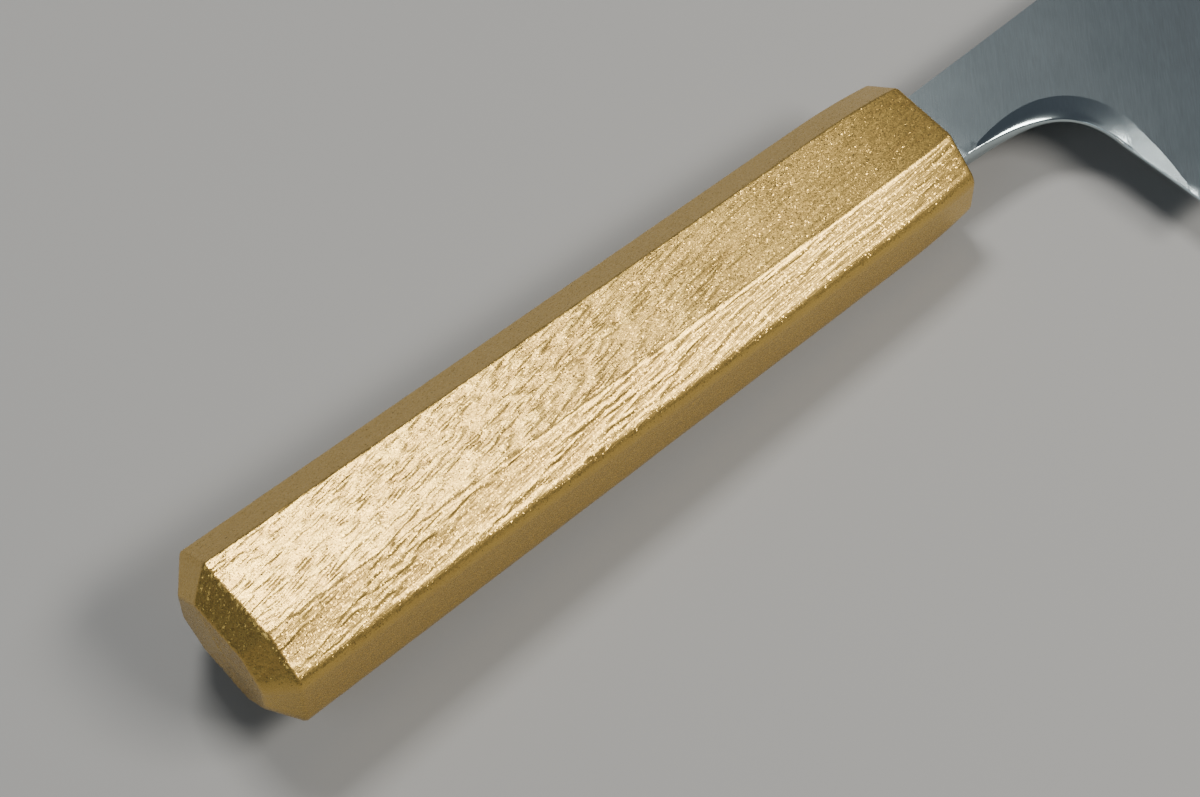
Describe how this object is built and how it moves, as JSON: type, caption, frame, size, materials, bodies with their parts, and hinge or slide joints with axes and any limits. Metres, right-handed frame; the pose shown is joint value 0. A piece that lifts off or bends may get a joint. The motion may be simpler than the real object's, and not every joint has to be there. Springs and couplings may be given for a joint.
{
  "type": "chef knife",
  "caption": "Chef knife with an octagonal gold-lacquered wooden handle, a hidden tang and a double-bevel steel blade with a polished choil.",
  "frame": {"origin": "under the middle of the knife's overall box, at the level of the lowest edge of the handle", "axes": "+X along the handle's axis towards the tip, +Y towards the spine, +Z out of the right face of the blade; the knife lies on its left side"},
  "size_m": [0.36, 0.049, 0.0208],
  "materials": {
    "gold_lacquered_wood": "satin gold lacquer over raised wood grain",
    "brushed_steel": "brushed from spine to edge, polished around the choil",
    "cured_adhesive": "dark cured filler"
  },
  "bodies": {
    "root": {"handle": "gold_lacquered_wood", "blade": "brushed_steel", "tang_adhesive": "cured_adhesive"}
  },
  "joints": []
}
